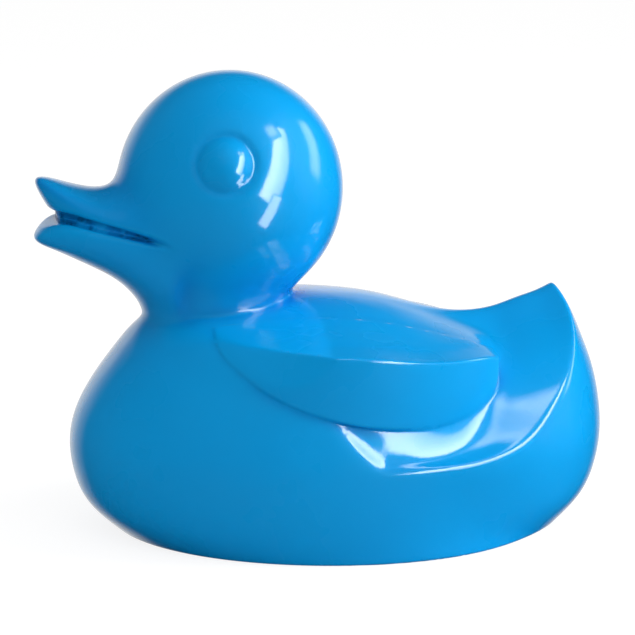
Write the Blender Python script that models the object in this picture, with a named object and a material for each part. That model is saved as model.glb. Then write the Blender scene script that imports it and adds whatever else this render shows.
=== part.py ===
"""A duck sculpture, cast in one piece: a tub-shaped body whose stern sweeps up into a tail, two
wings proud of its sides, a round head on a short neck, domed eyes and a parted bill.

The duck looks along -X, its tail points along +X, and it is the same on both sides of Y = 0.
It stands on its flat base at Z = 0, with its overall length centred over the origin.

The casting has no flat panels or round bores to start from, so it is made in two steps. Rough
balls are put where its masses are and remeshed into one skin. That skin is then drawn onto the
duck's form, which is written below as a function of a point: negative inside the casting, zero
on its skin and positive outside. Each part of the duck adds to that function with its own
sizes, and a named blend says how softly it runs into what it grows out of.
"""

import math

import bmesh
import bpy
import numpy as np

NAME = "duck_body"

# The hull, as (height, place of the breast, place of the stern, half width).
HULL = [(0.000, -0.0910, 0.1090, 0.0720),
        (0.012, -0.1045, 0.1205, 0.0790),
        (0.025, -0.1110, 0.1265, 0.0835),
        (0.042, -0.1130, 0.1290, 0.0865),
        (0.056, -0.1095, 0.1280, 0.0842),
        (0.070, -0.1015, 0.1250, 0.0802),
        (0.085, -0.0900, 0.1195, 0.0755),
        (0.100, -0.0780, 0.1125, 0.0690),
        (0.120, -0.0655, 0.0970, 0.0560)]
HULL_EGG = 0.05         # how much wider it is astern than at the breast
HULL_SQUARE = 0.07      # how far its plan leaves an ellipse for a rounded box

# The rim that ends the hull's upper side, as (distance out from the middle line, place, height).
# It comes down from the tip of the tail, and runs out along the flanks as a soft ridge.
RIM = [(-0.012, 0.1120, 0.1015),
       (0.000, 0.1090, 0.1065),
       (0.012, 0.1120, 0.1015),
       (0.025, 0.1120, 0.0915),
       (0.038, 0.1095, 0.0820),
       (0.049, 0.1050, 0.0730),
       (0.058, 0.0985, 0.0645),
       (0.066, 0.0890, 0.0560),
       (0.072, 0.0805, 0.0500),
       (0.078, 0.0670, 0.0455),
       (0.084, 0.0440, 0.0430),
       (0.088, 0.0150, 0.0425)]

# How the upper side rises towards the tail, as (place, height) along the middle line.
DECK = [(-0.115, 0.0960), (-0.005, 0.0960), (0.040, 0.0950), (0.057, 0.0930), (0.070, 0.0935),
        (0.081, 0.0952), (0.092, 0.0988), (0.101, 0.1017), (0.125, 0.1160)]
DECK_REACH = 0.035      # out to about here; further out the deck is level from end to end
DECK_EDGE = (0.007, 0.0030)     # its edge is soft along the flanks and crisp at the tail
DECK_EDGE_FROM = 0.000
DECK_EDGE_OVER = 0.040
FLANK_RISE = 0.040      # under the wings the ridge climbs this far, and ends
FLANK_RISE_FROM = 0.0145
FLANK_RISE_OVER = 0.045

# The upper body between the neck and the tail, as (height, half width, stern).
SHOULDER = [(0.000, 0.0850, 0.1000),
            (0.040, 0.0858, 0.0980),
            (0.050, 0.0835, 0.0935),
            (0.060, 0.0808, 0.0880),
            (0.080, 0.0765, 0.0830),
            (0.100, 0.0735, 0.0830),
            (0.120, 0.0690, 0.0830)]
SHOULDER_EGG = 0.06
SHOULDER_SQUARE = 0.05

# The back, as (place, height along the middle line, height out at the wings).
BACK = [(-0.115, 0.0920, 0.0890),
        (-0.085, 0.1010, 0.0905),
        (-0.050, 0.1065, 0.0925),
        (-0.013, 0.1070, 0.0958),
        (0.010, 0.1055, 0.0942),
        (0.030, 0.1020, 0.0904),
        (0.050, 0.0955, 0.0874),
        (0.070, 0.0880, 0.0838),
        (0.087, 0.0770, 0.0770)]
BACK_SWELL = 0.055      # how far out the swell of the middle line reaches
BACK_CROWN = 0.900      # radius of the back across the duck
BACK_EDGE = 0.015
BODY_BLEND = 0.010

# The wings, each an ellipse seen from the side whose top is cut off level with the back.
WING_CENTRE = (0.0072, 0.0844)
WING_RADII = (0.0645, 0.0237)
WING_TILT = 11.5
WING_UPRIGHT = 0.45     # above its long axis the ellipse is this much flatter, so its ends stand up
WING_OUT = 0.0843       # how far out its face stands where it stands out most
WING_OUT_HEIGHT = 0.100
WING_FACE_ENDS = (-0.0724, 0.0915)    # where the face's plan would close, ahead and astern
WING_FACE_EGG = -0.10
WING_PROUD = [(-0.056, 0.0006), (-0.048, 0.0016), (-0.038, 0.0030), (-0.020, 0.0070), (0.000, 0.0150),
              (0.030, 0.0400)]     # how far it may stand out of the body, as (place, height)
WING_FACE_SQUARE = 0.05
WING_FACE_RADIUS = 0.380
WING_INSIDE = 0.040     # it starts this far from the middle, well inside the body
WING_ROUND = 0.0030
WING_TOP_ROUND = 0.0016
WING_FILLET = 0.0016

# The neck and the head.
NECK_AT = -0.0485
NECK_RADIUS = 0.0315
NECK_BOTTOM = 0.080
NECK_TOP = 0.150
NECK_BLEND = 0.014
NECK_CREASE = 0.0045
HEAD_CENTRE = (-0.0415, 0.0, 0.1547)
HEAD_RADII = (0.0507, 0.0500, 0.0526)

# The eyes: domes set into the head, each in a shallow ring.
EYE_ASIDE = (-0.190, 0.905, 0.366)
EYE_RADIUS = 0.0113
EYE_RISE = 0.0036
EYE_FILLET = 0.0016
EYE_RING_DEPTH = 0.0011
EYE_RING_WIDTH = 0.0026

# The bill, as (place, height) along the middle line of its top, of its mouth and of its chin.
BILL_TOP = [(-0.145, 0.1660), (-0.127, 0.1628), (-0.115, 0.1593), (-0.104, 0.1567),
            (-0.092, 0.1560), (-0.075, 0.1570)]
BILL_MOUTH = [(-0.140, 0.1350), (-0.131, 0.1395), (-0.122, 0.1444), (-0.109, 0.1437),
              (-0.091, 0.1391), (-0.078, 0.1357), (-0.060, 0.1310)]
BILL_CHIN = [(-0.145, 0.1380), (-0.126, 0.1315), (-0.115, 0.1265), (-0.104, 0.1210),
             (-0.093, 0.1145), (-0.083, 0.1060)]
BILL_ROOT = -0.071      # it ends inside the head, at this place
BILL_ROOT_ROUND = 0.008
UPPER_TIP = (-0.1212, 0.1445)
UPPER_LEAN = 0.58       # how far it leans forward for each metre of height
UPPER_LENGTH = 0.027
UPPER_HALF = 0.0225
UPPER_FLARE = 0.16      # how much wider it gets for each metre back from its tip
UPPER_CROWN = 0.045
UPPER_ROUND = 0.012
LOWER_TIP = (-0.1305, 0.137)
LOWER_LEAN = -0.30
LOWER_LENGTH = 0.030
LOWER_HALF = 0.0205
LOWER_FLARE = 0.16
LOWER_CROWN = 0.030
LOWER_ROUND = 0.009
TONGUE_POINT = 2.2      # 2 gives a bill with a half-elliptic tip, more gives a squarer one
RIM_ROUND = 0.0015
BILL_BLEND = 0.015

# The gape: a groove that runs from the parted tip to the corners of the mouth.
GAPE_FROM = -0.122
GAPE_FADE = (-0.084, -0.070)
GAPE_DEPTH = (0.0045, 0.0024)
GAPE_WIDTH = (0.0028, 0.0016)

BASE_ROUND = 0.002

# The skin: how finely the form is sampled, and how many triangles the finished part keeps.
ROUGH_CELL = 0.005
MIDDLE_CELL = 0.004
FINE_CELL = 0.0022
SHARP_TURN = 9.0
TRIANGLES = 9000

BLUE = (0.003, 0.255, 0.650, 1.0)
GLOSS_ROUGHNESS = 0.12


def curve_through(points):
    """A smooth curve through (place, value) points, which runs on straight past its two ends."""
    place = np.array([point[0] for point in points])
    value = np.array([point[1] for point in points])
    gap = np.diff(place)
    last = len(points) - 1
    rows = np.eye(last + 1)
    bend = np.zeros(last + 1)
    for i in range(1, last):
        rows[i, i - 1:i + 2] = gap[i - 1], 2 * (gap[i - 1] + gap[i]), gap[i]
        bend[i] = 6 * ((value[i + 1] - value[i]) / gap[i] - (value[i] - value[i - 1]) / gap[i - 1])
    bend = np.linalg.solve(rows, bend)
    first_slope = (value[1] - value[0]) / gap[0] - gap[0] * bend[1] / 6
    last_slope = (value[-1] - value[-2]) / gap[-1] + gap[-1] * bend[-2] / 6

    def at(x):
        inside = np.clip(x, place[0], place[-1])
        i = np.clip(np.searchsorted(place, inside) - 1, 0, last - 1)
        ahead = place[i + 1] - inside
        behind = inside - place[i]
        cubic = (bend[i] * ahead**3 + bend[i + 1] * behind**3) / (6 * gap[i])
        line = (value[i] / gap[i] - bend[i] * gap[i] / 6) * ahead
        line += (value[i + 1] / gap[i] - bend[i + 1] * gap[i] / 6) * behind
        beyond = np.minimum(x - place[0], 0) * first_slope + np.maximum(x - place[-1], 0) * last_slope
        return cubic + line + beyond

    return at


def joined(a, b, blend):
    """Both solids as one, with a fillet where they meet."""
    near = np.maximum(blend - np.abs(a - b), 0) / blend
    return np.minimum(a, b) - near**3 * blend / 6


def shared(a, b, blend):
    """Only what lies in both solids, with a rounded edge where they meet."""
    return -joined(-a, -b, blend)


def above(x, y, z, surface):
    """Distance above a surface given as a height at each (x, y)."""
    step = 0.0005
    slope_x = (surface(x + step, y) - surface(x - step, y)) / (2 * step)
    slope_y = (surface(x, y + step) - surface(x, y - step)) / (2 * step)
    return (z - surface(x, y)) / np.sqrt(1 + slope_x**2 + slope_y**2)


def outside_ellipse(lengths, radii):
    """Distance outside an ellipse or ellipsoid, near enough for a skin to be drawn onto it."""
    k0 = np.sqrt(sum((length / radius)**2 for length, radius in zip(lengths, radii))) + 1e-9
    k1 = np.sqrt(sum((length / radius**2)**2 for length, radius in zip(lengths, radii))) + 1e-9
    return k0 * (k0 - 1) / k1


def outside_plan(x, y, breast, stern, beam, egg, square):
    """Distance outside a plan between an ellipse and a box, wider at one end than the other."""
    middle = (stern + breast) / 2
    along = (x - middle) * 2 / (stern - breast)
    across = y / (beam * np.maximum(1 + egg * along, 0.5))
    size = np.sqrt(np.maximum(along**2 + across**2 - square * (along * across)**2, 1e-9))
    return (1 - 1 / size) * np.hypot(x - middle, y)


def column(table, number):
    """The curve through one column of a table, against its first column."""
    return curve_through([(row[0], row[number]) for row in table])


breast_at = column(HULL, 1)
stern_at = column(HULL, 2)
beam_at = column(HULL, 3)
rim_place_at = column(RIM, 1)
rim_height_at = column(RIM, 2)
deck_at = curve_through(DECK)
shoulder_at = column(SHOULDER, 1)
shoulder_end_at = column(SHOULDER, 2)
wing_proud_at = curve_through(WING_PROUD)
back_middle_at = column(BACK, 1)
back_side_at = column(BACK, 2)
BEAM = max(row[3] for row in HULL)
bill_top_at = curve_through(BILL_TOP)
mouth_at = curve_through(BILL_MOUTH)
chin_at = curve_through(BILL_CHIN)


def deck_height(x, y):
    """The hull's upper side: the rim's height out there, plus how far the deck rises up to it."""
    out = np.abs(y)
    ahead = np.clip((FLANK_RISE_FROM - x) / FLANK_RISE_OVER, 0, 1)
    rise = FLANK_RISE * ahead**2 * (3 - 2 * ahead) * (out / BEAM)**4
    climb = (deck_at(x) - deck_at(rim_place_at(out))) * np.exp(-(out / DECK_REACH)**2)
    return rim_height_at(out) + climb + rise


def back_height(x, y):
    swell = (back_middle_at(x) - back_side_at(x)) * np.exp(-(y / BACK_SWELL)**2)
    return back_side_at(x) + swell - y**2 / (2 * BACK_CROWN)


def bill_top_height(x, y):
    return bill_top_at(x) - y**2 / (2 * UPPER_CROWN)


def chin_height(x, y):
    return chin_at(x) + y**2 / (2 * LOWER_CROWN)


def hull(x, y, z):
    side = outside_plan(x, y, breast_at(z), stern_at(z), beam_at(z), HULL_EGG, HULL_SQUARE)
    astern = np.clip((x - DECK_EDGE_FROM) / DECK_EDGE_OVER, 0, 1)
    edge = DECK_EDGE[0] + (DECK_EDGE[1] - DECK_EDGE[0]) * astern
    return shared(side, above(x, y, z, deck_height), edge)


def wing(x, y, z, back):
    tilt = math.radians(WING_TILT)
    ahead = x - WING_CENTRE[0]
    up = z - WING_CENTRE[1]
    along = ahead * math.cos(tilt) - up * math.sin(tilt)
    across = ahead * math.sin(tilt) + up * math.cos(tilt)
    across = np.where(across > 0, across * WING_UPRIGHT, across)
    outline = outside_ellipse((along, across), WING_RADII)
    out = WING_OUT - (z - WING_OUT_HEIGHT)**2 / (2 * WING_FACE_RADIUS)
    face = outside_plan(x, y, *WING_FACE_ENDS, out, WING_FACE_EGG, WING_FACE_SQUARE)
    plate = shared(outline, face, WING_ROUND)
    plate = shared(plate, back, WING_TOP_ROUND)
    return shared(plate, WING_INSIDE - np.abs(y), WING_TOP_ROUND)


def body(x, y, z):
    back = above(x, y, z, back_height)
    beam = shoulder_at(z)
    stern = shoulder_end_at(z)
    side = outside_plan(x, y, breast_at(z), stern, beam, SHOULDER_EGG, SHOULDER_SQUARE)
    shoulders = shared(side, back, BACK_EDGE)
    both = joined(hull(x, y, z), shoulders, BODY_BLEND)
    plate = shared(wing(x, y, z, back), both - wing_proud_at(x), WING_TOP_ROUND)
    return joined(both, plate, WING_FILLET)


def eye(x, y, z):
    """The dome of an eye, and the depth of the ring round it."""
    aside = np.array(EYE_ASIDE) / np.linalg.norm(EYE_ASIDE)
    from_head = (x - HEAD_CENTRE[0], np.abs(y), z - HEAD_CENTRE[2])
    out = sum(length * way for length, way in zip(from_head, aside))
    off = np.sqrt(np.maximum(sum(length**2 for length in from_head) - out**2, 1e-12))
    off = np.where(out > 0, off, 1.0)
    head_radius = HEAD_RADII[1]
    rim = math.sqrt(head_radius**2 - EYE_RADIUS**2)
    rise = EYE_RISE + head_radius - rim
    dome_radius = (EYE_RADIUS**2 + rise**2) / (2 * rise)
    dome = np.hypot(off, out - (rim + rise - dome_radius)) - dome_radius
    ring = EYE_RING_DEPTH * np.exp(-((off - EYE_RADIUS - EYE_RING_WIDTH / 4) / EYE_RING_WIDTH)**2)
    return dome, ring


def head(x, y, z):
    ball = outside_ellipse((x - HEAD_CENTRE[0], y, z - HEAD_CENTRE[2]), HEAD_RADII)
    dome, ring = eye(x, y, z)
    ball = joined(ball + ring, dome, EYE_FILLET)
    neck = np.hypot(x - NECK_AT, y) - NECK_RADIUS
    neck = shared(neck, z - NECK_TOP, NECK_CREASE)
    neck = shared(neck, NECK_BOTTOM - z, NECK_CREASE)
    return joined(ball, neck, NECK_BLEND)


def outside_tongue(x, y, z, tip, lean, length, half, flare):
    """Distance outside the plan of one half of the bill: a round tip that widens to its root."""
    front = tip[0] - lean * (z - tip[1])
    wide = half + flare * (x - front)
    along = np.minimum((x - front - length) / length, 0)
    across = np.abs(y) / wide
    size = (np.abs(along)**TONGUE_POINT + across**TONGUE_POINT + 1e-9)**(1 / TONGUE_POINT)
    grow = np.abs(along / size)**(TONGUE_POINT - 1) / length
    widen = (across / size)**(TONGUE_POINT - 1) / wide
    steep = np.maximum(np.hypot(grow, widen), 1 / max(length, half))
    return (size - 1) / steep / math.sqrt(1 + lean**2)


def bill(x, y, z):
    mouth = mouth_at(x)
    rim = outside_tongue(x, y, z, UPPER_TIP, UPPER_LEAN, UPPER_LENGTH, UPPER_HALF, UPPER_FLARE)
    upper = shared(rim, above(x, y, z, bill_top_height), UPPER_ROUND)
    upper = shared(upper, mouth - z, RIM_ROUND)
    lip = outside_tongue(x, y, z, LOWER_TIP, LOWER_LEAN, LOWER_LENGTH, LOWER_HALF, LOWER_FLARE)
    lower = shared(lip, -above(x, y, z, chin_height), LOWER_ROUND)
    lower = shared(lower, z - mouth, RIM_ROUND)
    return shared(joined(upper, lower, RIM_ROUND), x - BILL_ROOT, BILL_ROOT_ROUND)


def gape(x, z):
    """The depth of the groove between the two halves of the bill."""
    fade = np.clip((GAPE_FADE[1] - x) / (GAPE_FADE[1] - GAPE_FADE[0]), 0, 1)
    back = np.clip((x - GAPE_FROM) / (GAPE_FADE[1] - GAPE_FROM), 0, 1)
    depth = GAPE_DEPTH[0] + (GAPE_DEPTH[1] - GAPE_DEPTH[0]) * back
    width = GAPE_WIDTH[0] + (GAPE_WIDTH[1] - GAPE_WIDTH[0]) * back
    return depth * fade**2 * (3 - 2 * fade) * np.exp(-((z - mouth_at(x)) / width)**2)


def duck(points):
    """The whole form: how far each point lies outside the casting."""
    x, y, z = points[:, 0], points[:, 1], points[:, 2]
    face = joined(head(x, y, z), bill(x, y, z), BILL_BLEND) + gape(x, z)
    whole = joined(face, body(x, y, z), NECK_CREASE)
    return shared(whole, -z, BASE_ROUND)


def slope_of_form(points):
    nudge = 0.00002
    slope = np.empty_like(points)
    for axis in range(3):
        shift = np.zeros(3)
        shift[axis] = nudge
        slope[:, axis] = (duck(points + shift) - duck(points - shift)) / (2 * nudge)
    return slope


def drawn_onto_form(points, steps, reach):
    """Points moved along the form's slope until they lie on its skin."""
    for _ in range(steps):
        slope = slope_of_form(points)
        steepness = np.maximum((slope**2).sum(axis=1), 0.05)
        move = -slope * (duck(points) / steepness)[:, None]
        length = np.linalg.norm(move, axis=1)
        move *= (np.minimum(length, reach) / np.maximum(length, 1e-12))[:, None]
        points = points + move
    return points


def add_ball(centre, radii):
    bpy.ops.mesh.primitive_uv_sphere_add(segments=48, ring_count=24, radius=1.0, location=centre)
    ball = bpy.context.object
    ball.scale = radii
    bpy.ops.object.transform_apply(location=True, rotation=True, scale=True)
    return ball


def add_rough_duck():
    """Overlapping balls where the duck's masses are, a little fuller than it in its hollows."""
    front = min(row[1] for row in HULL)
    rear = max(row[2] for row in HULL)
    top = max(row[1] for row in BACK)
    tail = DECK[-2]
    bill_middle = (LOWER_TIP[0] + BILL_ROOT) / 2
    throat_at = (bill_middle + BILL_ROOT) / 2
    throat_height = (LOWER_TIP[1] + top) / 2
    throat = LOWER_HALF * 1.3
    balls = [
        add_ball(((front + rear) / 2, 0, top / 2), ((rear - front) / 2, BEAM, top / 2)),
        add_ball((tail[0] - top / 8, 0, tail[1] * 0.8), (top / 4, BEAM / 2, tail[1] / 5)),
        add_ball((NECK_AT, 0, top), (NECK_RADIUS, NECK_RADIUS, top / 4)),
        add_ball(HEAD_CENTRE, HEAD_RADII),
        add_ball((bill_middle, 0, UPPER_TIP[1]), (UPPER_LENGTH, UPPER_HALF * 1.2, UPPER_HALF * 0.85)),
        add_ball((throat_at, 0, throat_height), (throat, throat, throat)),
    ]
    bpy.ops.object.select_all(action="DESELECT")
    for ball in balls:
        ball.select_set(True)
    bpy.context.view_layer.objects.active = balls[0]
    bpy.ops.object.join()
    return bpy.context.object


def remesh(piece, cell):
    piece.data.remesh_voxel_size = cell
    piece.data.remesh_voxel_adaptivity = 0.0
    bpy.context.view_layer.objects.active = piece
    bpy.ops.object.voxel_remesh()


def read_points(mesh):
    flat = np.empty(len(mesh.vertices) * 3, dtype=np.float32)
    mesh.vertices.foreach_get("co", flat)
    return flat.reshape(-1, 3).astype(float)


def write_points(mesh, points):
    points[np.abs(points[:, 2]) < 1e-5, 2] = 0.0
    mesh.vertices.foreach_set("co", points.astype(np.float32).ravel())
    mesh.update()


def evened(mesh, points):
    """Each point moved halfway to the middle of its neighbours."""
    ends = np.empty(len(mesh.edges) * 2, dtype=np.int32)
    mesh.edges.foreach_get("vertices", ends)
    start, end = ends.reshape(-1, 2).T
    count = np.bincount(ends, minlength=len(points))
    total = np.empty_like(points)
    for axis in range(3):
        total[:, axis] = np.bincount(start, points[end, axis], len(points))
        total[:, axis] += np.bincount(end, points[start, axis], len(points))
    return (points + total / count[:, None]) / 2


def draw_onto_form(piece, steps, reach, even_rounds):
    points = drawn_onto_form(read_points(piece.data), steps, reach)
    for _ in range(even_rounds):
        points = drawn_onto_form(evened(piece.data, points), 3, reach)
    write_points(piece.data, points)


def refine_sharp_turns(piece):
    """Shorter edges where the skin turns sharply: along the wings, the eyes and the mouth."""
    slope = slope_of_form(read_points(piece.data))
    slope /= np.linalg.norm(slope, axis=1)[:, None]
    ends = np.empty(len(piece.data.edges) * 2, dtype=np.int32)
    piece.data.edges.foreach_get("vertices", ends)
    start, end = ends.reshape(-1, 2).T
    sharp = (slope[start] * slope[end]).sum(axis=1) < math.cos(math.radians(SHARP_TURN))
    mesh = bmesh.new()
    mesh.from_mesh(piece.data)
    mesh.edges.ensure_lookup_table()
    edges = [mesh.edges[i] for i in np.flatnonzero(sharp)]
    bmesh.ops.subdivide_edges(mesh, edges=edges, cuts=1, use_grid_fill=True)
    mesh.to_mesh(piece.data)
    mesh.free()


def thin_out(piece, triangles):
    """Fewer and larger triangles where the skin is nearly flat."""
    piece.data.calc_loop_triangles()
    thin = piece.modifiers.new("thin", "DECIMATE")
    thin.ratio = min(1.0, triangles / len(piece.data.loop_triangles))
    thin.use_symmetry = True
    thin.symmetry_axis = "Y"
    bpy.ops.object.modifier_apply(modifier=thin.name)


def blue_gloss():
    material = bpy.data.materials.new("blue_gloss")
    material.use_nodes = True
    shader = material.node_tree.nodes["Principled BSDF"]
    shader.inputs["Base Color"].default_value = BLUE
    shader.inputs["Roughness"].default_value = GLOSS_ROUGHNESS
    shader.inputs["Metallic"].default_value = 0.0
    material.diffuse_color = BLUE
    return material


def make_duck():
    piece = add_rough_duck()
    remesh(piece, ROUGH_CELL)
    draw_onto_form(piece, steps=12, reach=ROUGH_CELL, even_rounds=3)
    remesh(piece, MIDDLE_CELL)
    draw_onto_form(piece, steps=6, reach=MIDDLE_CELL, even_rounds=3)
    remesh(piece, FINE_CELL)
    draw_onto_form(piece, steps=5, reach=FINE_CELL, even_rounds=2)
    refine_sharp_turns(piece)
    draw_onto_form(piece, steps=4, reach=FINE_CELL, even_rounds=0)
    thin_out(piece, TRIANGLES)
    for face in piece.data.polygons:
        face.use_smooth = True
    piece.name = NAME
    piece.data.name = NAME
    piece.data.materials.clear()
    piece.data.materials.append(blue_gloss())
    return piece


def main():
    for thing in list(bpy.data.objects):
        bpy.data.objects.remove(thing)
    group = bpy.data.collections.new("duck_sculpture")
    bpy.context.scene.collection.children.link(group)
    piece = make_duck()
    for home in list(piece.users_collection):
        home.objects.unlink(piece)
    group.objects.link(piece)


main()
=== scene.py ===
"""The looks of the duck sculpture: one casting under a hand-rubbed sky-blue lacquer.

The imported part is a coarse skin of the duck's form. The casting shown here is the same form at
the same size, sampled finely enough for a glossy lacquer, and it stands for the part's one node.
The form is written below as a function of a point: negative inside the casting, zero on its skin
and positive outside. The duck looks along -X and stands on its flat base at Z = 0.
"""

import math

import bmesh
import bpy
import numpy as np
from mathutils import Matrix, Vector


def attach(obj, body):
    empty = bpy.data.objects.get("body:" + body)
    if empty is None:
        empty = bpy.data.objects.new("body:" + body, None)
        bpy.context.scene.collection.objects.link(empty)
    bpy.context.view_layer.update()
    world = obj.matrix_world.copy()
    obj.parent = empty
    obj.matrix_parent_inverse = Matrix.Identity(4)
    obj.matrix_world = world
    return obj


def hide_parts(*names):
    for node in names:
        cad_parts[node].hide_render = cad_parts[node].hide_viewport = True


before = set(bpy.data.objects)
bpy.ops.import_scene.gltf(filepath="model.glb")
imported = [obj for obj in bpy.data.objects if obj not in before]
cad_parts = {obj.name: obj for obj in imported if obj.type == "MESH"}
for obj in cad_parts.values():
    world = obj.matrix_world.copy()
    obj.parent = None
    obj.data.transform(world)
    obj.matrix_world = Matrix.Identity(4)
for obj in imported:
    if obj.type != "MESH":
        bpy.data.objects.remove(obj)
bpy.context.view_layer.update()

# The hull, as (height, place of the breast, place of the stern, half width).
HULL = [(0.000, -0.0910, 0.1090, 0.0720),
        (0.012, -0.1045, 0.1205, 0.0790),
        (0.025, -0.1110, 0.1265, 0.0835),
        (0.042, -0.1130, 0.1290, 0.0865),
        (0.056, -0.1095, 0.1280, 0.0842),
        (0.070, -0.1015, 0.1250, 0.0802),
        (0.085, -0.0900, 0.1195, 0.0755),
        (0.100, -0.0780, 0.1125, 0.0690),
        (0.120, -0.0655, 0.0970, 0.0560)]
HULL_EGG = 0.05         # how much wider it is astern than at the breast
HULL_SQUARE = 0.07      # how far its plan leaves an ellipse for a rounded box

# The rim that ends the hull's upper side, as (distance out from the middle line, place, height).
# It comes down from the tip of the tail, and runs out along the flanks as a soft ridge.
RIM = [(-0.012, 0.1120, 0.1015),
       (0.000, 0.1090, 0.1065),
       (0.012, 0.1120, 0.1015),
       (0.025, 0.1120, 0.0915),
       (0.038, 0.1095, 0.0820),
       (0.049, 0.1050, 0.0730),
       (0.058, 0.0985, 0.0645),
       (0.066, 0.0890, 0.0560),
       (0.072, 0.0805, 0.0500),
       (0.078, 0.0670, 0.0455),
       (0.084, 0.0440, 0.0430),
       (0.088, 0.0150, 0.0425)]

# How the upper side rises towards the tail, as (place, height) along the middle line.
DECK = [(-0.115, 0.0960), (-0.005, 0.0960), (0.040, 0.0950), (0.057, 0.0930), (0.070, 0.0935),
        (0.081, 0.0952), (0.092, 0.0988), (0.101, 0.1017), (0.125, 0.1160)]
DECK_REACH = 0.035      # out to about here; further out the deck is level from end to end
DECK_EDGE = (0.007, 0.0030)     # its edge is soft along the flanks and crisp at the tail
DECK_EDGE_FROM = 0.000          # the place where it starts to get crisper
DECK_EDGE_OVER = 0.040          # and over what length
FLANK_RISE = 0.040      # under the wings the ridge climbs this far, and ends
FLANK_RISE_FROM = 0.0145
FLANK_RISE_OVER = 0.045

# The upper body between the neck and the tail, as (height, half width, stern).
SHOULDER = [(0.000, 0.0850, 0.1000),
            (0.040, 0.0858, 0.0980),
            (0.050, 0.0835, 0.0935),
            (0.060, 0.0808, 0.0880),
            (0.080, 0.0765, 0.0830),
            (0.100, 0.0735, 0.0830),
            (0.120, 0.0690, 0.0830)]
SHOULDER_EGG = 0.06
SHOULDER_SQUARE = 0.05

# The back, as (place, height along the middle line, height out at the wings).
BACK = [(-0.115, 0.0920, 0.0890),
        (-0.085, 0.1010, 0.0905),
        (-0.050, 0.1065, 0.0925),
        (-0.013, 0.1070, 0.0958),
        (0.010, 0.1055, 0.0942),
        (0.030, 0.1020, 0.0904),
        (0.050, 0.0955, 0.0874),
        (0.070, 0.0880, 0.0838),
        (0.087, 0.0770, 0.0770)]
BACK_SWELL = 0.055      # how far out the swell of the middle line reaches
BACK_CROWN = 0.900      # radius of the back across the duck
BACK_EDGE = 0.015       # how softly the back turns into the sides
BODY_BLEND = 0.010      # the fillet between the hull and the upper body

# The wings, each an ellipse seen from the side whose top is cut off level with the back.
WING_CENTRE = (0.0072, 0.0844)
WING_RADII = (0.0645, 0.0237)
WING_TILT = 11.5
WING_UPRIGHT = 0.45     # above its long axis the ellipse is this much flatter, so its ends stand up
WING_OUT = 0.0843       # how far out its face stands where it stands out most
WING_OUT_HEIGHT = 0.100
WING_FACE_ENDS = (-0.0724, 0.0915)    # where the face's plan would close, ahead and astern
WING_FACE_EGG = -0.10
WING_FACE_SQUARE = 0.05
WING_FACE_RADIUS = 0.380        # of the face from its top to its foot
WING_INSIDE = 0.040     # it starts this far from the middle, well inside the body
WING_ROUND = 0.0030
WING_TOP_ROUND = 0.0016
WING_FILLET = 0.0016

# How far the wings may stand out of the body, as (place, distance); their front ends fade into it.
WING_PROUD = [(-0.056, 0.0006),
              (-0.048, 0.0016),
              (-0.038, 0.0030),
              (-0.020, 0.0070),
              (0.000, 0.0150),
              (0.030, 0.0400)]

# The neck and the head.
NECK_AT = -0.0485
NECK_RADIUS = 0.0315
NECK_BOTTOM = 0.080
NECK_TOP = 0.150
NECK_BLEND = 0.014      # the fillet between the neck and the head
NECK_CREASE = 0.0045    # the tighter one between the neck and the body
HEAD_CENTRE = (-0.0415, 0.0, 0.1547)
HEAD_RADII = (0.0507, 0.0500, 0.0526)

# The eyes: domes set into the head, each in a shallow ring.
EYE_ASIDE = (-0.190, 0.905, 0.366)
EYE_RADIUS = 0.0113
EYE_RISE = 0.0036
EYE_FILLET = 0.0016
EYE_RING_DEPTH = 0.0011
EYE_RING_WIDTH = 0.0026

# The bill, as (place, height) along the middle line of its top, of its mouth and of its chin.
BILL_TOP = [(-0.145, 0.1660), (-0.127, 0.1628), (-0.115, 0.1593), (-0.104, 0.1567),
            (-0.092, 0.1560), (-0.075, 0.1570)]
BILL_MOUTH = [(-0.140, 0.1350), (-0.131, 0.1395), (-0.122, 0.1444), (-0.109, 0.1437),
              (-0.091, 0.1391), (-0.078, 0.1357), (-0.060, 0.1310)]
BILL_CHIN = [(-0.145, 0.1380), (-0.126, 0.1315), (-0.115, 0.1265), (-0.104, 0.1210),
             (-0.093, 0.1145), (-0.083, 0.1060)]
BILL_ROOT = -0.071      # it ends inside the head, at this place
BILL_ROOT_ROUND = 0.008
UPPER_TIP = (-0.1212, 0.1445)
UPPER_LEAN = 0.58       # how far it leans forward for each metre of height
UPPER_LENGTH = 0.027
UPPER_HALF = 0.0225
UPPER_FLARE = 0.16      # how much wider it gets for each metre back from its tip
UPPER_CROWN = 0.045
UPPER_ROUND = 0.012
LOWER_TIP = (-0.1305, 0.137)
LOWER_LEAN = -0.30
LOWER_LENGTH = 0.030
LOWER_HALF = 0.0205
LOWER_FLARE = 0.16
LOWER_CROWN = 0.030
LOWER_ROUND = 0.009
TONGUE_POINT = 2.2      # 2 gives a bill with a half-elliptic tip, more gives a squarer one
RIM_ROUND = 0.0015
BILL_BLEND = 0.015

# The gape: a groove that runs from the parted tip to the corners of the mouth.
GAPE_FROM = -0.122
GAPE_FADE = (-0.084, -0.070)    # the corners of the mouth, where the groove runs out
GAPE_DEPTH = (0.0045, 0.0024)   # at the tip and at the corners
GAPE_WIDTH = (0.0028, 0.0016)

BASE_ROUND = 0.002

# The skin: how finely the form is sampled, from the rough balls to the finished casting.
ROUGH_CELL = 0.005
MIDDLE_CELL = 0.0035
FINE_CELL = 0.0021
SHARP_TURN = 7.0        # an edge whose two ends lean apart by more degrees than this is halved
SHARP_ROUNDS = 2

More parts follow.
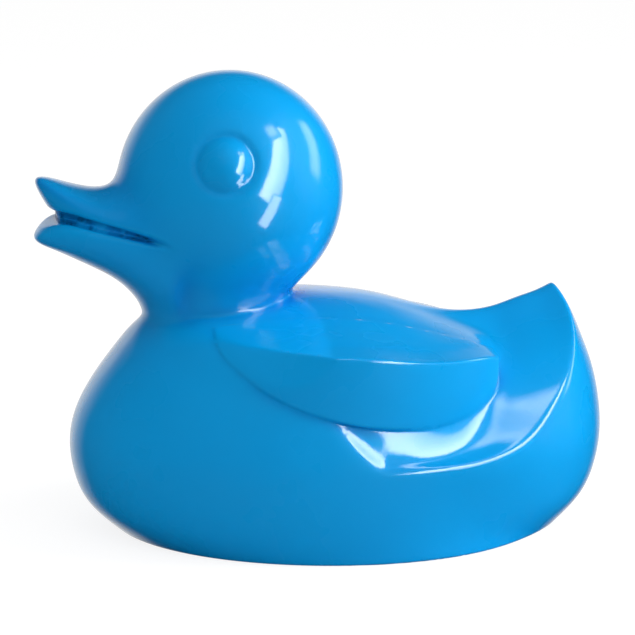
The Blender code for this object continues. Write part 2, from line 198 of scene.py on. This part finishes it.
# The lacquer: a little thinner in broad patches, and darker in the creases, which is painted shade.
BLUE_THIN = (0.000, 0.300, 0.680, 1.0)
BLUE_FULL = (0.000, 0.285, 0.655, 1.0)
# painted shade: the darker blue that the creases get
BLUE_CREASE_SHADE = (0.000, 0.170, 0.520, 1.0)
PATCH_SCALE = 9.0
CREASE_SHADE_REACH = 0.004    # how far out from the skin a crease is looked for
CREASE_SHADE_GAIN = 1.2
RUBBED_SCALE = 26.0     # patches where it was rubbed down more
RUBBED_ROUGHNESS = (0.24, 0.34)
RUBBED_COAT = (1.0, 0.9)
COAT_ROUGHNESS = 0.07
COAT_INDEX = 1.5
UNDERCOAT_SHINE = 0.1
WAVE_SCALE = 34.0       # slight waves, from smoothing it by hand
WAVE_DEPTH = 0.0005
PEEL_SCALE = 650.0      # and the fine grain of a sprayed coat
PEEL_DEPTH = 0.000012

# The floor: how far it reaches, how it lights the duck from below, and how it looks itself.
FLOOR_RADIUS = 6.0
FLOOR_BOUNCE = 0.70
FLOOR_SHOWN = 0.20
FLOOR_GLOW = 0.86

# The room: its fill light, and the white backdrop that shows in the gloss, low down behind the duck.
ROOM_FILL = 0.74
BACKDROP_WIDE = (0.70, 0.93)
BACKDROP_HIGH = (0.18, 0.44)
WALL_DISTANCE = 1.2     # how far off the windows and the lamps stand
LAMP_AIM = Vector((0, 0, 0.1))
FRONT_WINDOW = 46       # the way to each window, in degrees
SIDE_WINDOW = 95
WINDOW_LEAN = -32       # how far their frames lean over

# The camera: where it stands round the duck, and how wide a view it takes at the aim point.
CAMERA_AZIMUTH = -10.84
CAMERA_ELEVATION = 11.70
CAMERA_DISTANCE = 1.6
CAMERA_WIDTH = 0.288
CAMERA_SENSOR = 36
CAMERA_AIM = Vector((-0.0015, 0.0, 0.0936))


def curve_through(points):
    """A smooth curve through (place, value) points, which runs on straight past its two ends."""
    place = np.array([point[0] for point in points])
    value = np.array([point[1] for point in points])
    gap = np.diff(place)
    last = len(points) - 1
    rows = np.eye(last + 1)
    bend = np.zeros(last + 1)
    for i in range(1, last):
        rows[i, i - 1:i + 2] = gap[i - 1], 2 * (gap[i - 1] + gap[i]), gap[i]
        bend[i] = 6 * ((value[i + 1] - value[i]) / gap[i] - (value[i] - value[i - 1]) / gap[i - 1])
    bend = np.linalg.solve(rows, bend)
    first_slope = (value[1] - value[0]) / gap[0] - gap[0] * bend[1] / 6
    last_slope = (value[-1] - value[-2]) / gap[-1] + gap[-1] * bend[-2] / 6

    def at(x):
        inside = np.clip(x, place[0], place[-1])
        i = np.clip(np.searchsorted(place, inside) - 1, 0, last - 1)
        ahead = place[i + 1] - inside
        behind = inside - place[i]
        cubic = (bend[i] * ahead**3 + bend[i + 1] * behind**3) / (6 * gap[i])
        line = (value[i] / gap[i] - bend[i] * gap[i] / 6) * ahead
        line += (value[i + 1] / gap[i] - bend[i + 1] * gap[i] / 6) * behind
        beyond = np.minimum(x - place[0], 0) * first_slope + np.maximum(x - place[-1], 0) * last_slope
        return cubic + line + beyond

    return at


def joined(a, b, blend):
    """Both solids as one, with a fillet where they meet."""
    near = np.maximum(blend - np.abs(a - b), 0) / blend
    return np.minimum(a, b) - near**3 * blend / 6


def shared(a, b, blend):
    """Only what lies in both solids, with a rounded edge where they meet."""
    return -joined(-a, -b, blend)


def above(x, y, z, surface):
    """Distance above a surface given as a height at each (x, y)."""
    step = 0.0005       # the length over which its slope is measured
    slope_x = (surface(x + step, y) - surface(x - step, y)) / (2 * step)
    slope_y = (surface(x, y + step) - surface(x, y - step)) / (2 * step)
    return (z - surface(x, y)) / np.sqrt(1 + slope_x**2 + slope_y**2)


def outside_ellipse(lengths, radii):
    """Distance outside an ellipse or ellipsoid, near enough for a skin to be drawn onto it."""
    k0 = np.sqrt(sum((length / radius)**2 for length, radius in zip(lengths, radii))) + 1e-9
    k1 = np.sqrt(sum((length / radius**2)**2 for length, radius in zip(lengths, radii))) + 1e-9
    return k0 * (k0 - 1) / k1


def outside_plan(x, y, breast, stern, beam, egg, square):
    """Distance outside a plan between an ellipse and a box, wider at one end than the other."""
    middle = (stern + breast) / 2
    along = (x - middle) * 2 / (stern - breast)
    across = y / (beam * np.maximum(1 + egg * along, 0.5))
    size = np.sqrt(np.maximum(along**2 + across**2 - square * (along * across)**2, 1e-9))
    return (1 - 1 / size) * np.hypot(x - middle, y)


def column(table, number):
    """The curve through one column of a table, against its first column."""
    return curve_through([(row[0], row[number]) for row in table])


breast_at = column(HULL, 1)
stern_at = column(HULL, 2)
beam_at = column(HULL, 3)
rim_place_at = column(RIM, 1)
rim_height_at = column(RIM, 2)
deck_at = curve_through(DECK)
shoulder_at = column(SHOULDER, 1)
shoulder_end_at = column(SHOULDER, 2)
wing_proud_at = curve_through(WING_PROUD)
back_middle_at = column(BACK, 1)
back_side_at = column(BACK, 2)
BEAM = max(row[3] for row in HULL)
bill_top_at = curve_through(BILL_TOP)
mouth_at = curve_through(BILL_MOUTH)
chin_at = curve_through(BILL_CHIN)


def deck_height(x, y):
    """The hull's upper side: the rim's height out there, plus how far the deck rises up to it."""
    out = np.abs(y)
    ahead = np.clip((FLANK_RISE_FROM - x) / FLANK_RISE_OVER, 0, 1)
    rise = FLANK_RISE * ahead**2 * (3 - 2 * ahead) * (out / BEAM)**4
    climb = (deck_at(x) - deck_at(rim_place_at(out))) * np.exp(-(out / DECK_REACH)**2)
    return rim_height_at(out) + climb + rise


def back_height(x, y):
    swell = (back_middle_at(x) - back_side_at(x)) * np.exp(-(y / BACK_SWELL)**2)
    return back_side_at(x) + swell - y**2 / (2 * BACK_CROWN)


def bill_top_height(x, y):
    return bill_top_at(x) - y**2 / (2 * UPPER_CROWN)


def chin_height(x, y):
    return chin_at(x) + y**2 / (2 * LOWER_CROWN)


def hull(x, y, z):
    side = outside_plan(x, y, breast_at(z), stern_at(z), beam_at(z), HULL_EGG, HULL_SQUARE)
    astern = np.clip((x - DECK_EDGE_FROM) / DECK_EDGE_OVER, 0, 1)
    edge = DECK_EDGE[0] + (DECK_EDGE[1] - DECK_EDGE[0]) * astern
    return shared(side, above(x, y, z, deck_height), edge)


def wing(x, y, z, back):
    tilt = math.radians(WING_TILT)
    ahead = x - WING_CENTRE[0]
    up = z - WING_CENTRE[1]
    along = ahead * math.cos(tilt) - up * math.sin(tilt)
    across = ahead * math.sin(tilt) + up * math.cos(tilt)
    across = np.where(across > 0, across * WING_UPRIGHT, across)
    outline = outside_ellipse((along, across), WING_RADII)
    out = WING_OUT - (z - WING_OUT_HEIGHT)**2 / (2 * WING_FACE_RADIUS)
    face = outside_plan(x, y, *WING_FACE_ENDS, out, WING_FACE_EGG, WING_FACE_SQUARE)
    plate = shared(outline, face, WING_ROUND)
    plate = shared(plate, back, WING_TOP_ROUND)
    return shared(plate, WING_INSIDE - np.abs(y), WING_TOP_ROUND)


def body(x, y, z):
    back = above(x, y, z, back_height)
    beam = shoulder_at(z)
    stern = shoulder_end_at(z)
    side = outside_plan(x, y, breast_at(z), stern, beam, SHOULDER_EGG, SHOULDER_SQUARE)
    shoulders = shared(side, back, BACK_EDGE)
    both = joined(hull(x, y, z), shoulders, BODY_BLEND)
    plate = shared(wing(x, y, z, back), both - wing_proud_at(x), WING_TOP_ROUND)
    return joined(both, plate, WING_FILLET)


def eye(x, y, z):
    """The dome of an eye, and the depth of the ring round it."""
    aside = np.array(EYE_ASIDE) / np.linalg.norm(EYE_ASIDE)
    from_head = (x - HEAD_CENTRE[0], np.abs(y), z - HEAD_CENTRE[2])
    out = sum(length * way for length, way in zip(from_head, aside))
    off = np.sqrt(np.maximum(sum(length**2 for length in from_head) - out**2, 1e-12))
    off = np.where(out > 0, off, 1.0)
    head_radius = HEAD_RADII[1]
    rim = math.sqrt(head_radius**2 - EYE_RADIUS**2)
    rise = EYE_RISE + head_radius - rim
    dome_radius = (EYE_RADIUS**2 + rise**2) / (2 * rise)
    dome = np.hypot(off, out - (rim + rise - dome_radius)) - dome_radius
    ring = EYE_RING_DEPTH * np.exp(-((off - EYE_RADIUS - EYE_RING_WIDTH / 4) / EYE_RING_WIDTH)**2)
    return dome, ring


def head(x, y, z):
    ball = outside_ellipse((x - HEAD_CENTRE[0], y, z - HEAD_CENTRE[2]), HEAD_RADII)
    dome, ring = eye(x, y, z)
    ball = joined(ball + ring, dome, EYE_FILLET)
    neck = np.hypot(x - NECK_AT, y) - NECK_RADIUS
    neck = shared(neck, z - NECK_TOP, NECK_CREASE)
    neck = shared(neck, NECK_BOTTOM - z, NECK_CREASE)
    return joined(ball, neck, NECK_BLEND)


def outside_tongue(x, y, z, tip, lean, length, half, flare):
    """Distance outside the plan of one half of the bill: a round tip that widens to its root."""
    front = tip[0] - lean * (z - tip[1])
    wide = half + flare * (x - front)
    along = np.minimum((x - front - length) / length, 0)
    across = np.abs(y) / wide
    size = (np.abs(along)**TONGUE_POINT + across**TONGUE_POINT + 1e-9)**(1 / TONGUE_POINT)
    grow = np.abs(along / size)**(TONGUE_POINT - 1) / length
    widen = (across / size)**(TONGUE_POINT - 1) / wide
    steep = np.maximum(np.hypot(grow, widen), 1 / max(length, half))
    return (size - 1) / steep / math.sqrt(1 + lean**2)


def bill(x, y, z):
    mouth = mouth_at(x)
    rim = outside_tongue(x, y, z, UPPER_TIP, UPPER_LEAN, UPPER_LENGTH, UPPER_HALF, UPPER_FLARE)
    upper = shared(rim, above(x, y, z, bill_top_height), UPPER_ROUND)
    upper = shared(upper, mouth - z, RIM_ROUND)
    lip = outside_tongue(x, y, z, LOWER_TIP, LOWER_LEAN, LOWER_LENGTH, LOWER_HALF, LOWER_FLARE)
    lower = shared(lip, -above(x, y, z, chin_height), LOWER_ROUND)
    lower = shared(lower, z - mouth, RIM_ROUND)
    return shared(joined(upper, lower, RIM_ROUND), x - BILL_ROOT, BILL_ROOT_ROUND)


def gape(x, z):
    """The depth of the groove between the two halves of the bill."""
    fade = np.clip((GAPE_FADE[1] - x) / (GAPE_FADE[1] - GAPE_FADE[0]), 0, 1)
    back = np.clip((x - GAPE_FROM) / (GAPE_FADE[1] - GAPE_FROM), 0, 1)
    depth = GAPE_DEPTH[0] + (GAPE_DEPTH[1] - GAPE_DEPTH[0]) * back
    width = GAPE_WIDTH[0] + (GAPE_WIDTH[1] - GAPE_WIDTH[0]) * back
    return depth * fade**2 * (3 - 2 * fade) * np.exp(-((z - mouth_at(x)) / width)**2)


def duck(points):
    """The whole form: how far each point lies outside the casting."""
    x, y, z = points[:, 0], points[:, 1], points[:, 2]
    face = joined(head(x, y, z), bill(x, y, z), BILL_BLEND) + gape(x, z)
    whole = joined(face, body(x, y, z), NECK_CREASE)
    return shared(whole, -z, BASE_ROUND)


def slope_of_form(points):
    nudge = 0.00002
    slope = np.empty_like(points)
    for axis in range(3):
        shift = np.zeros(3)
        shift[axis] = nudge
        slope[:, axis] = (duck(points + shift) - duck(points - shift)) / (2 * nudge)
    return slope


def drawn_onto_form(points, steps, reach):
    """Points moved along the form's slope until they lie on its skin."""
    for _ in range(steps):
        slope = slope_of_form(points)
        steepness = np.maximum((slope**2).sum(axis=1), 0.05)
        move = -slope * (duck(points) / steepness)[:, None]
        length = np.linalg.norm(move, axis=1)
        move *= (np.minimum(length, reach) / np.maximum(length, 1e-12))[:, None]
        points = points + move
    return points


def add_ball(centre, radii):
    bpy.ops.mesh.primitive_uv_sphere_add(segments=48, ring_count=24, radius=1.0, location=centre)
    ball = bpy.context.object
    ball.scale = radii
    bpy.ops.object.transform_apply(location=True, rotation=True, scale=True)
    return ball


def add_rough_duck():
    """Overlapping balls where the duck's masses are, a little fuller than it in its hollows."""
    front = min(row[1] for row in HULL)
    rear = max(row[2] for row in HULL)
    top = max(row[1] for row in BACK)
    tail = DECK[-2]
    bill_middle = (LOWER_TIP[0] + BILL_ROOT) / 2
    throat_at = (bill_middle + BILL_ROOT) / 2
    throat_height = (LOWER_TIP[1] + top) / 2
    throat = LOWER_HALF * 1.3
    balls = [
        add_ball(((front + rear) / 2, 0, top / 2), ((rear - front) / 2, BEAM, top / 2)),
        add_ball((tail[0] - top / 8, 0, tail[1] * 0.8), (top / 4, BEAM / 2, tail[1] / 5)),
        add_ball((NECK_AT, 0, top), (NECK_RADIUS, NECK_RADIUS, top / 4)),
        add_ball(HEAD_CENTRE, HEAD_RADII),
        add_ball((bill_middle, 0, UPPER_TIP[1]), (UPPER_LENGTH, UPPER_HALF * 1.2, UPPER_HALF * 0.85)),
        add_ball((throat_at, 0, throat_height), (throat, throat, throat)),
    ]
    bpy.ops.object.select_all(action="DESELECT")
    for ball in balls:
        ball.select_set(True)
    bpy.context.view_layer.objects.active = balls[0]
    bpy.ops.object.join()
    return bpy.context.object


def remesh(piece, cell):
    piece.data.remesh_voxel_size = cell
    piece.data.remesh_voxel_adaptivity = 0.0
    bpy.context.view_layer.objects.active = piece
    bpy.ops.object.voxel_remesh()


def read_points(mesh):
    flat = np.empty(len(mesh.vertices) * 3, dtype=np.float32)
    mesh.vertices.foreach_get("co", flat)
    return flat.reshape(-1, 3).astype(float)


def write_points(mesh, points):
    points[np.abs(points[:, 2]) < 1e-5, 2] = 0.0
    mesh.vertices.foreach_set("co", points.astype(np.float32).ravel())
    mesh.update()


def evened(mesh, points):
    """Each point moved halfway to the middle of its neighbours."""
    ends = np.empty(len(mesh.edges) * 2, dtype=np.int32)
    mesh.edges.foreach_get("vertices", ends)
    start, end = ends.reshape(-1, 2).T
    count = np.bincount(ends, minlength=len(points))
    total = np.empty_like(points)
    for axis in range(3):
        total[:, axis] = np.bincount(start, points[end, axis], len(points))
        total[:, axis] += np.bincount(end, points[start, axis], len(points))
    return (points + total / count[:, None]) / 2


def draw_onto_form(piece, steps, reach, even_rounds):
    points = drawn_onto_form(read_points(piece.data), steps, reach)
    for _ in range(even_rounds):
        points = drawn_onto_form(evened(piece.data, points), 3, reach)
    write_points(piece.data, points)


def refine_sharp_turns(piece):
    """Shorter edges where the skin turns sharply: along the wings, the eyes and the mouth."""
    slope = slope_of_form(read_points(piece.data))
    slope /= np.linalg.norm(slope, axis=1)[:, None]
    ends = np.empty(len(piece.data.edges) * 2, dtype=np.int32)
    piece.data.edges.foreach_get("vertices", ends)
    start, end = ends.reshape(-1, 2).T
    sharp = (slope[start] * slope[end]).sum(axis=1) < math.cos(math.radians(SHARP_TURN))
    mesh = bmesh.new()
    mesh.from_mesh(piece.data)
    mesh.edges.ensure_lookup_table()
    edges = [mesh.edges[i] for i in np.flatnonzero(sharp)]
    bmesh.ops.subdivide_edges(mesh, edges=edges, cuts=1, use_grid_fill=True)
    mesh.to_mesh(piece.data)
    mesh.free()


def paint_crease_shade(piece):
    """Gives each point how far it lies down in a crease, as painted shade that darkens the lacquer
    there.
    """
    points = read_points(piece.data)
    slope = slope_of_form(points)
    slope /= np.linalg.norm(slope, axis=1)[:, None]
    # Painted shade: the deeper a point lies in a crease, the darker its blue.
    open_by = duck(points + slope * CREASE_SHADE_REACH) / CREASE_SHADE_REACH
    crease_shade = np.clip((1.0 - open_by) * CREASE_SHADE_GAIN, 0, 1)
    shade_marks = piece.data.attributes.new("crease_shade", "FLOAT", "POINT")
    shade_marks.data.foreach_set("value", crease_shade.astype(np.float32))
    piece.data.normals_split_custom_set_from_vertices(slope.tolist())


def link(tree, start, end):
    tree.links.new(start, end)


def add_noise(tree, place, scale, detail, roughness=0.5):
    noise = tree.nodes.new("ShaderNodeTexNoise")
    noise.inputs["Scale"].default_value = scale
    noise.inputs["Detail"].default_value = detail
    noise.inputs["Roughness"].default_value = roughness
    link(tree, place, noise.inputs["Vector"])
    return noise.outputs["Fac"]


def add_range(tree, value, low, high, to_low, to_high):
    fit = tree.nodes.new("ShaderNodeMapRange")
    fit.inputs["From Min"].default_value = low
    fit.inputs["From Max"].default_value = high
    fit.inputs["To Min"].default_value = to_low
    fit.inputs["To Max"].default_value = to_high
    link(tree, value, fit.inputs["Value"])
    return fit.outputs["Result"]


def socket_of(sockets, name, kind):
    """The one socket of this name that a mix of colours uses, out of those it keeps for other kinds."""
    return [socket for socket in sockets if socket.name == name and socket.type == kind][0]


def add_mix(tree, amount, first, second):
    mix = tree.nodes.new("ShaderNodeMix")
    mix.data_type = "RGBA"
    for name, value in (("A", first), ("B", second)):
        socket = socket_of(mix.inputs, name, "RGBA")
        if isinstance(value, tuple):
            socket.default_value = value
        else:
            link(tree, value, socket)
    link(tree, amount, socket_of(mix.inputs, "Factor", "VALUE"))
    return socket_of(mix.outputs, "Result", "RGBA")


def add_bump(tree, height, distance, before=None):
    bump = tree.nodes.new("ShaderNodeBump")
    bump.inputs["Strength"].default_value = 1.0
    bump.inputs["Distance"].default_value = distance
    link(tree, height, bump.inputs["Height"])
    if before is not None:
        link(tree, before, bump.inputs["Normal"])
    return bump.outputs["Normal"]


def blue_lacquer():
    """A deep blue under a clear coat: a little thinner in broad random patches, and darkened in the
    creases by painted shade.
    """
    material = bpy.data.materials.new("blue_gloss")
    material.use_nodes = True
    tree = material.node_tree
    shader = tree.nodes["Principled BSDF"]
    place = tree.nodes.new("ShaderNodeTexCoord").outputs["Object"]
    crease_shade = tree.nodes.new("ShaderNodeAttribute")
    crease_shade.attribute_name = "crease_shade"

    patches = add_range(tree, add_noise(tree, place, PATCH_SCALE, 2.0), 0.35, 0.65, 0.0, 1.0)
    tone = add_mix(tree, patches, BLUE_THIN, BLUE_FULL)
    # Painted shade: the blue turns darker down in the creases.
    tone = add_mix(tree, crease_shade.outputs["Fac"], tone, BLUE_CREASE_SHADE)
    link(tree, tone, shader.inputs["Base Color"])

    rubbed = add_noise(tree, place, RUBBED_SCALE, 3.0)
    link(tree, add_range(tree, rubbed, 0.3, 0.7, *RUBBED_ROUGHNESS), shader.inputs["Roughness"])
    link(tree, add_range(tree, rubbed, 0.3, 0.7, *RUBBED_COAT), shader.inputs["Coat Weight"])
    shader.inputs["Coat Roughness"].default_value = COAT_ROUGHNESS
    shader.inputs["Coat IOR"].default_value = COAT_INDEX
    shader.inputs["Specular IOR Level"].default_value = UNDERCOAT_SHINE

    waves = add_bump(tree, add_noise(tree, place, WAVE_SCALE, 1.5), WAVE_DEPTH)
    peel = add_bump(tree, add_noise(tree, place, PEEL_SCALE, 1.0), PEEL_DEPTH, waves)
    link(tree, peel, shader.inputs["Normal"])
    link(tree, peel, shader.inputs["Coat Normal"])
    return material


def make_casting():
    """The duck's skin: rough balls, sampled ever more finely and drawn onto the form each time."""
    bpy.ops.object.select_all(action="DESELECT")
    piece = add_rough_duck()
    remesh(piece, ROUGH_CELL)
    draw_onto_form(piece, steps=12, reach=ROUGH_CELL, even_rounds=3)
    remesh(piece, MIDDLE_CELL)
    draw_onto_form(piece, steps=6, reach=MIDDLE_CELL, even_rounds=3)
    remesh(piece, FINE_CELL)
    draw_onto_form(piece, steps=5, reach=FINE_CELL, even_rounds=3)
    for _ in range(SHARP_ROUNDS):
        refine_sharp_turns(piece)
        draw_onto_form(piece, steps=4, reach=FINE_CELL, even_rounds=0)
    for face in piece.data.polygons:
        face.use_smooth = True
    paint_crease_shade(piece)
    piece.name = "duck_casting"
    piece.data.name = "duck_casting"
    piece.data.materials.clear()
    piece.data.materials.append(blue_lacquer())
    return piece


def make_floor():
    """A pale floor that fades into the white behind it, and keeps the duck's soft shadow."""
    bpy.ops.mesh.primitive_circle_add(vertices=96, radius=FLOOR_RADIUS, fill_type="NGON")
    floor = bpy.context.object
    floor.name = "floor"
    material = bpy.data.materials.new("pale_floor")
    material.use_nodes = True
    tree = material.node_tree
    tree.nodes.clear()
    out = tree.nodes.new("ShaderNodeOutputMaterial")
    ray = tree.nodes.new("ShaderNodeLightPath")
    lit = tree.nodes.new("ShaderNodeBsdfDiffuse")
    lit.inputs["Color"].default_value = (FLOOR_BOUNCE, FLOOR_BOUNCE, FLOOR_BOUNCE, 1)
    shown = tree.nodes.new("ShaderNodeBsdfDiffuse")
    shown.inputs["Color"].default_value = (FLOOR_SHOWN, FLOOR_SHOWN, FLOOR_SHOWN, 1)
    glow = tree.nodes.new("ShaderNodeEmission")
    glow.inputs["Strength"].default_value = FLOOR_GLOW
    both = tree.nodes.new("ShaderNodeAddShader")
    link(tree, shown.outputs[0], both.inputs[0])
    link(tree, glow.outputs[0], both.inputs[1])
    choose = tree.nodes.new("ShaderNodeMixShader")
    link(tree, ray.outputs["Is Camera Ray"], choose.inputs[0])
    link(tree, lit.outputs[0], choose.inputs[1])
    link(tree, both.outputs[0], choose.inputs[2])
    link(tree, choose.outputs[0], out.inputs["Surface"])
    floor.data.materials.append(material)
    floor.visible_glossy = False


def add_product(tree, first, second):
    times = tree.nodes.new("ShaderNodeMath")
    times.operation = "MULTIPLY"
    link(tree, first, times.inputs[0])
    link(tree, second, times.inputs[1])
    return times.outputs["Value"]


def make_room():
    """White to the camera; soft grey light for the duck; in its gloss, white low down behind it."""
    world = bpy.data.worlds.new("studio")
    world.use_nodes = True
    bpy.context.scene.world = world
    tree = world.node_tree
    tree.nodes.clear()
    out = tree.nodes.new("ShaderNodeOutputWorld")
    ray = tree.nodes.new("ShaderNodeLightPath")
    way = tree.nodes.new("ShaderNodeTexCoord")
    split = tree.nodes.new("ShaderNodeSeparateXYZ")
    link(tree, way.outputs["Generated"], split.inputs[0])
    behind = add_range(tree, split.outputs["Y"], *BACKDROP_WIDE, 0.0, 1.0)
    low = add_range(tree, split.outputs["Z"], *BACKDROP_HIGH, 1.0, 0.0)
    fill = tree.nodes.new("ShaderNodeBackground")
    fill.inputs["Strength"].default_value = ROOM_FILL
    white = tree.nodes.new("ShaderNodeBackground")
    mirrored = tree.nodes.new("ShaderNodeBackground")
    link(tree, add_product(tree, behind, low), mirrored.inputs["Strength"])
    first = tree.nodes.new("ShaderNodeMixShader")
    link(tree, ray.outputs["Is Glossy Ray"], first.inputs[0])
    link(tree, fill.outputs[0], first.inputs[1])
    link(tree, mirrored.outputs[0], first.inputs[2])
    last = tree.nodes.new("ShaderNodeMixShader")
    link(tree, ray.outputs["Is Camera Ray"], last.inputs[0])
    link(tree, first.outputs[0], last.inputs[1])
    link(tree, white.outputs[0], last.inputs[2])
    link(tree, last.outputs[0], out.inputs["Surface"])


def direction(azimuth, elevation):
    """The way from the duck to something seen at these angles, in degrees; azimuth 0 is -Y."""
    turn = math.radians(azimuth)
    rise = math.radians(elevation)
    return Vector((math.sin(turn) * math.cos(rise), -math.cos(turn) * math.cos(rise), math.sin(rise)))


def facing_duck(place, azimuth, elevation, lean):
    """Stands something at a place, its front to the duck, leant over by some degrees."""
    way = direction(azimuth, elevation)
    side = Vector((0, 0, 1)).cross(way).normalized()
    up = way.cross(side)
    turned = Matrix((side, up, way)).transposed() @ Matrix.Rotation(math.radians(lean), 3, "Z")
    return Matrix.Translation(place) @ turned.to_4x4()


def on_wall(azimuth, aside, height):
    """A place on an upright wall that stands that way from the duck, so far aside and so high."""
    way = direction(azimuth, 0)
    side = Vector((0, 0, 1)).cross(way)
    return Vector((0, 0, height)) + way * WALL_DISTANCE + side * aside


def add_card(name, place, azimuth, elevation, lean, size, glow, soft=0.3, dim=0.0):
    """A bright panel that only the gloss shows: soft at its edges, and dimmer to one side."""
    bpy.ops.mesh.primitive_plane_add(size=2)
    card = bpy.context.object
    card.name = name
    card.matrix_world = facing_duck(place, azimuth, elevation, lean) @ Matrix.Diagonal(
        (size[0] / 2, size[1] / 2, 1, 1))
    material = bpy.data.materials.new(name)
    material.use_nodes = True
    tree = material.node_tree
    tree.nodes.clear()
    out = tree.nodes.new("ShaderNodeOutputMaterial")
    split = tree.nodes.new("ShaderNodeSeparateXYZ")
    link(tree, tree.nodes.new("ShaderNodeTexCoord").outputs["Object"], split.inputs[0])
    inside = []
    for axis, edge in (("X", soft), ("Y", soft * size[0] / size[1])):
        away = tree.nodes.new("ShaderNodeMath")
        away.operation = "ABSOLUTE"
        link(tree, split.outputs[axis], away.inputs[0])
        inside.append(add_range(tree, away.outputs["Value"], 1.0 - edge, 1.0, 1.0, 0.0))
    sideways = add_range(tree, split.outputs["X"], -0.3, 0.9, glow, glow * (1.0 - dim))
    light = tree.nodes.new("ShaderNodeEmission")
    strength = add_product(tree, add_product(tree, inside[0], inside[1]), sideways)
    link(tree, strength, light.inputs["Strength"])
    link(tree, light.outputs[0], out.inputs["Surface"])
    card.data.materials.append(material)
    card.visible_camera = False
    card.visible_diffuse = False
    card.visible_shadow = False


def add_lamp(name, azimuth, elevation, distance, size, watts):
    """A softbox that lights the duck; the cards stand for it in the gloss."""
    lamp = bpy.data.lights.new(name, "AREA")
    lamp.shape = "RECTANGLE"
    lamp.size, lamp.size_y = size
    lamp.energy = watts
    box = bpy.data.objects.new(name, lamp)
    place = LAMP_AIM + direction(azimuth, elevation) * distance
    box.matrix_world = facing_duck(place, azimuth, elevation, 0.0)
    box.visible_glossy = False
    box.visible_camera = False
    bpy.context.scene.collection.objects.link(box)


def add_camera():
    way = direction(CAMERA_AZIMUTH, CAMERA_ELEVATION)
    data = bpy.data.cameras.new("camera")
    data.sensor_width = CAMERA_SENSOR
    data.lens = data.sensor_width * CAMERA_DISTANCE / CAMERA_WIDTH
    camera = bpy.data.objects.new("camera", data)
    camera.location = CAMERA_AIM + way * CAMERA_DISTANCE
    camera.rotation_euler = (-way).to_track_quat("-Z", "Y").to_euler()
    bpy.context.scene.collection.objects.link(camera)
    bpy.context.scene.camera = camera


casting = make_casting()
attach(casting, "root")
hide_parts("duck_body")

make_floor()
make_room()
# A tall window ahead of the duck's side gives the long gleam on its head and the one on its flank.
add_card("window", on_wall(FRONT_WINDOW, 0.09, 0.86), FRONT_WINDOW, 0, WINDOW_LEAN,
         size=(0.52, 2.06), glow=14, soft=0.25, dim=0.65)
# Two small panels close to the duck lengthen that gleam, down over the cheek and up on the crown.
add_card("window_foot", Vector((0.007, -0.106, 0.133)), 20, -20, WINDOW_LEAN,
         size=(0.020, 0.056), glow=9, soft=0.35)
add_card("window_head", Vector((0.205, -0.165, 0.5)), 50, 70, 0,
         size=(0.12, 0.12), glow=6, soft=0.7)
# A paler window astern gives the faint second gleam on the back of the head.
add_card("far_window", on_wall(SIDE_WINDOW, 0.10, 0.62), SIDE_WINDOW, 0, -38,
         size=(0.42, 1.0), glow=3.5, soft=0.7)
add_lamp("key", 80, 20, WALL_DISTANCE, (0.8, 1.6), 23)
add_lamp("overhead", 0, 55, 1.6, (1.6, 1.6), 8)
add_camera()
bpy.context.scene.view_settings.view_transform = "Standard"
